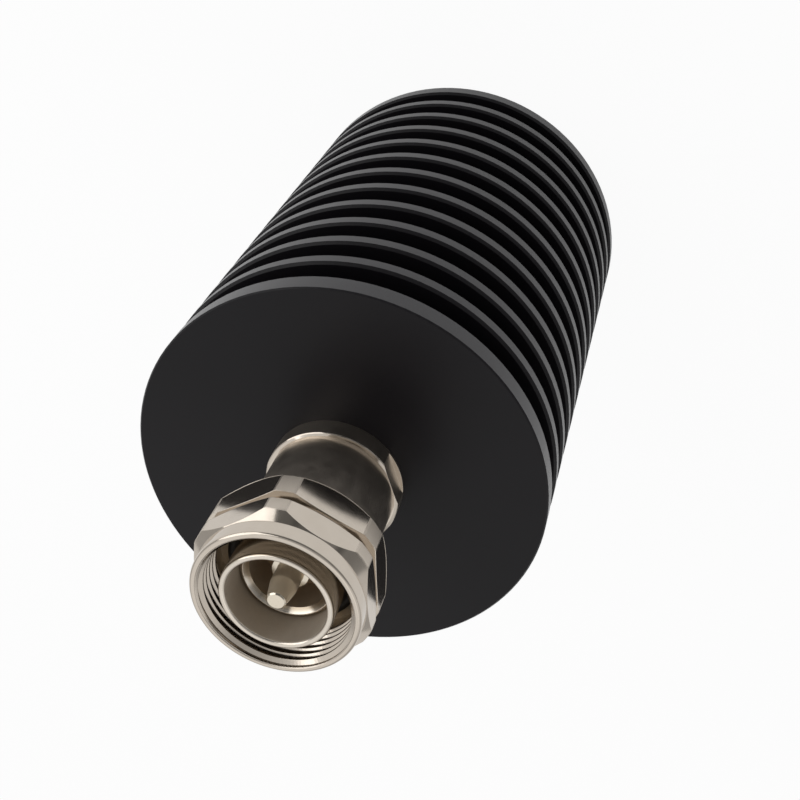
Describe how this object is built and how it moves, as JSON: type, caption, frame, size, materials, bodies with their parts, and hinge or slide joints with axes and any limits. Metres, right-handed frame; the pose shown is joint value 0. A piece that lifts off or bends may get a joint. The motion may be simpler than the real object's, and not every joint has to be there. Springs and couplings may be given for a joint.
{
  "type": "rf dummy load",
  "caption": "Round finned heat sink with a coaxial plug on its front face: hexagon coupling nut, contact sleeve and centre pin. It absorbs radio power and gives it off as heat.",
  "frame": {"origin": "centre of the flat rear end, on which the load stands", "axes": "+Z along the axis, from the rear end to the plug's mouth; +X square to the collar's wrench flats"},
  "size_m": [0.084, 0.084, 0.1523],
  "materials": {
    "black_anodised": "satin",
    "nickel_plate": "gloss",
    "nickel_nut": "gloss",
    "spring_metal": "gloss",
    "seal_rubber": "matte",
    "nickel_sleeve": "gloss",
    "amber_insulator": "satin",
    "silver_pin": "gloss",
    "copper": "satin",
    "white_ceramic": "matte",
    "silver_tab": "gloss"
  },
  "bodies": {
    "load": {"heat_sink": "black_anodised", "connector_body": "nickel_plate", "nut_snap_ring": "spring_metal", "seal_ring": "seal_rubber", "outer_contact": "nickel_sleeve", "support_bead": "amber_insulator", "centre_pin": "silver_pin", "load_carrier": "copper", "load_chip": "white_ceramic", "chip_cover": "white_ceramic", "chip_tab": "silver_tab"},
    "nut": {"coupling_nut": "nickel_nut"}
  },
  "joints": [
    {"name": "nut_turn", "type": "hinge", "parent": "load", "child": "nut", "pos_m": [0, 0, 0.1376], "axis": [0, 0, 1], "continuous": true}
  ]
}
